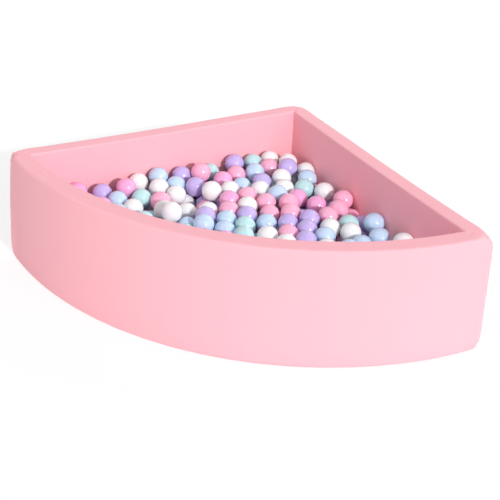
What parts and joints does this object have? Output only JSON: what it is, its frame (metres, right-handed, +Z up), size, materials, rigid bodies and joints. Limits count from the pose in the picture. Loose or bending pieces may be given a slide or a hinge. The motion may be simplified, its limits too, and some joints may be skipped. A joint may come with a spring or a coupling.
{
  "type": "ball pit",
  "caption": "Quarter-round corner ball pit: padded walls in a stretch cover round a foam mat, filled with small loose plastic balls.",
  "frame": {"origin": "middle of the bounding box at floor level", "axes": "+Z up; +Y towards the straight leg that stands against the back wall of a room; +X towards the other straight leg, against the side wall; the arc faces -X and -Y"},
  "size_m": [0.9974, 0.9974, 0.35],
  "materials": {
    "foam": "open-cell polyurethane foam, dull",
    "pink_jersey": "fine knitted stretch fabric, matt, pale pink",
    "base_cloth": "plain woven base fabric, matt",
    "zip_plastic": "woven tape and moulded coil, dyed to match",
    "zip_metal": "die-cast and enamelled to match",
    "ball_white": "blown polyethylene, soft gloss",
    "ball_pink": "blown polyethylene, soft gloss",
    "ball_rose": "blown polyethylene, soft gloss",
    "ball_lilac": "blown polyethylene, soft gloss",
    "ball_blue": "blown polyethylene, soft gloss",
    "ball_mint": "blown polyethylene, soft gloss"
  },
  "bodies": {
    "pit": {"foam_wall_back": "foam", "foam_wall_right": "foam", "foam_wall_arc": "foam", "foam_floor_mat": "foam", "cover_outer_back": "pink_jersey", "cover_outer_right": "pink_jersey", "cover_outer_arc": "pink_jersey", "cover_rim_back": "pink_jersey", "cover_rim_right": "pink_jersey", "cover_rim_arc": "pink_jersey", "cover_inner_back": "pink_jersey", "cover_inner_right": "pink_jersey", "cover_inner_arc": "pink_jersey", "cover_floor": "pink_jersey", "cover_base": "base_cloth", "zip_tape_back": "zip_plastic", "zip_coil_back": "zip_plastic", "zip_stop_back": "zip_metal", "zip_tape_right": "zip_plastic", "zip_coil_right": "zip_plastic", "zip_stop_right": "zip_metal", "ball_bed": "ball_white"},
    "slider_back": {"zip_slider_back": "zip_metal"},
    "slider_right": {"zip_slider_right": "zip_metal"},
    "pull_back": {"zip_pull_back": "zip_metal"},
    "pull_right": {"zip_pull_right": "zip_metal"},
    "ball_01": {"ball_01": "ball_white"},
    "ball_02": {"ball_02": "ball_pink"},
    "ball_03": {"ball_03": "ball_blue"},
    "ball_04": {"ball_04": "ball_white"},
    "ball_05": {"ball_05": "ball_rose"},
    "ball_06": {"ball_06": "ball_blue"},
    "ball_07": {"ball_07": "ball_pink"},
    "ball_08": {"ball_08": "ball_lilac"},
    "ball_09": {"ball_09": "ball_mint"},
    "ball_10": {"ball_10": "ball_pink"},
    "ball_11": {"ball_11": "ball_lilac"},
    "ball_12": {"ball_12": "ball_white"},
    "ball_13": {"ball_13": "ball_rose"},
    "ball_14": {"ball_14": "ball_blue"},
    "ball_15": {"ball_15": "ball_white"},
    "ball_16": {"ball_16": "ball_lilac"},
    "ball_17": {"ball_17": "ball_mint"},
    "ball_18": {"ball_18": "ball_pink"},
    "ball_19": {"ball_19": "ball_lilac"},
    "ball_20": {"ball_20": "ball_white"},
    "ball_21": {"ball_21": "ball_pink"},
    "ball_22": {"ball_22": "ball_blue"},
    "ball_23": {"ball_23": "ball_white"},
    "ball_24": {"ball_24": "ball_rose"},
    "ball_25": {"ball_25": "ball_blue"},
    "ball_26": {"ball_26": "ball_pink"},
    "ball_27": {"ball_27": "ball_lilac"},
    "ball_28": {"ball_28": "ball_mint"},
    "ball_29": {"ball_29": "ball_pink"},
    "ball_30": {"ball_30": "ball_lilac"}
  },
  "joints": [
    {"name": "zip_slide_back", "type": "slide", "parent": "pit", "child": "slider_back", "axis": [-1, 0, 0], "range_m": [0, 0.862]},
    {"name": "zip_slide_right", "type": "slide", "parent": "pit", "child": "slider_right", "axis": [0, -1, 0], "range_m": [0, 0.862]},
    {"name": "pull_swing_back", "type": "hinge", "parent": "slider_back", "child": "pull_back", "pos_m": [0.41487, 0.49496, 0.01682], "axis": [0, -0.2398, -0.9708], "range_deg": [0, 170]},
    {"name": "pull_swing_right", "type": "hinge", "parent": "slider_right", "child": "pull_right", "pos_m": [0.49496, 0.41487, 0.01682], "axis": [0.2398, 0, 0.9708], "range_deg": [0, 170]},
    {"name": "lift_ball_01", "type": "slide", "parent": "pit", "child": "ball_01", "axis": [0, 0, 1], "range_m": [0, 0.2]},
    {"name": "lift_ball_02", "type": "slide", "parent": "pit", "child": "ball_02", "axis": [0, 0, 1], "range_m": [0, 0.2]},
    {"name": "lift_ball_03", "type": "slide", "parent": "pit", "child": "ball_03", "axis": [0, 0, 1], "range_m": [0, 0.2]},
    {"name": "lift_ball_04", "type": "slide", "parent": "pit", "child": "ball_04", "axis": [0, 0, 1], "range_m": [0, 0.2]},
    {"name": "lift_ball_05", "type": "slide", "parent": "pit", "child": "ball_05", "axis": [0, 0, 1], "range_m": [0, 0.2]},
    {"name": "lift_ball_06", "type": "slide", "parent": "pit", "child": "ball_06", "axis": [0, 0, 1], "range_m": [0, 0.2]},
    {"name": "lift_ball_07", "type": "slide", "parent": "pit", "child": "ball_07", "axis": [0, 0, 1], "range_m": [0, 0.2]},
    {"name": "lift_ball_08", "type": "slide", "parent": "pit", "child": "ball_08", "axis": [0, 0, 1], "range_m": [0, 0.2]},
    {"name": "lift_ball_09", "type": "slide", "parent": "pit", "child": "ball_09", "axis": [0, 0, 1], "range_m": [0, 0.2]},
    {"name": "lift_ball_10", "type": "slide", "parent": "pit", "child": "ball_10", "axis": [0, 0, 1], "range_m": [0, 0.2]},
    {"name": "lift_ball_11", "type": "slide", "parent": "pit", "child": "ball_11", "axis": [0, 0, 1], "range_m": [0, 0.2]},
    {"name": "lift_ball_12", "type": "slide", "parent": "pit", "child": "ball_12", "axis": [0, 0, 1], "range_m": [0, 0.2]},
    {"name": "lift_ball_13", "type": "slide", "parent": "pit", "child": "ball_13", "axis": [0, 0, 1], "range_m": [0, 0.2]},
    {"name": "lift_ball_14", "type": "slide", "parent": "pit", "child": "ball_14", "axis": [0, 0, 1], "range_m": [0, 0.2]},
    {"name": "lift_ball_15", "type": "slide", "parent": "pit", "child": "ball_15", "axis": [0, 0, 1], "range_m": [0, 0.2]},
    {"name": "lift_ball_16", "type": "slide", "parent": "pit", "child": "ball_16", "axis": [0, 0, 1], "range_m": [0, 0.2]},
    {"name": "lift_ball_17", "type": "slide", "parent": "pit", "child": "ball_17", "axis": [0, 0, 1], "range_m": [0, 0.2]},
    {"name": "lift_ball_18", "type": "slide", "parent": "pit", "child": "ball_18", "axis": [0, 0, 1], "range_m": [0, 0.2]},
    {"name": "lift_ball_19", "type": "slide", "parent": "pit", "child": "ball_19", "axis": [0, 0, 1], "range_m": [0, 0.2]},
    {"name": "lift_ball_20", "type": "slide", "parent": "pit", "child": "ball_20", "axis": [0, 0, 1], "range_m": [0, 0.2]},
    {"name": "lift_ball_21", "type": "slide", "parent": "pit", "child": "ball_21", "axis": [0, 0, 1], "range_m": [0, 0.2]},
    {"name": "lift_ball_22", "type": "slide", "parent": "pit", "child": "ball_22", "axis": [0, 0, 1], "range_m": [0, 0.2]},
    {"name": "lift_ball_23", "type": "slide", "parent": "pit", "child": "ball_23", "axis": [0, 0, 1], "range_m": [0, 0.2]},
    {"name": "lift_ball_24", "type": "slide", "parent": "pit", "child": "ball_24", "axis": [0, 0, 1], "range_m": [0, 0.2]},
    {"name": "lift_ball_25", "type": "slide", "parent": "pit", "child": "ball_25", "axis": [0, 0, 1], "range_m": [0, 0.2]},
    {"name": "lift_ball_26", "type": "slide", "parent": "pit", "child": "ball_26", "axis": [0, 0, 1], "range_m": [0, 0.2]},
    {"name": "lift_ball_27", "type": "slide", "parent": "pit", "child": "ball_27", "axis": [0, 0, 1], "range_m": [0, 0.2]},
    {"name": "lift_ball_28", "type": "slide", "parent": "pit", "child": "ball_28", "axis": [0, 0, 1], "range_m": [0, 0.2]},
    {"name": "lift_ball_29", "type": "slide", "parent": "pit", "child": "ball_29", "axis": [0, 0, 1], "range_m": [0, 0.2]},
    {"name": "lift_ball_30", "type": "slide", "parent": "pit", "child": "ball_30", "axis": [0, 0, 1], "range_m": [0, 0.2]}
  ]
}
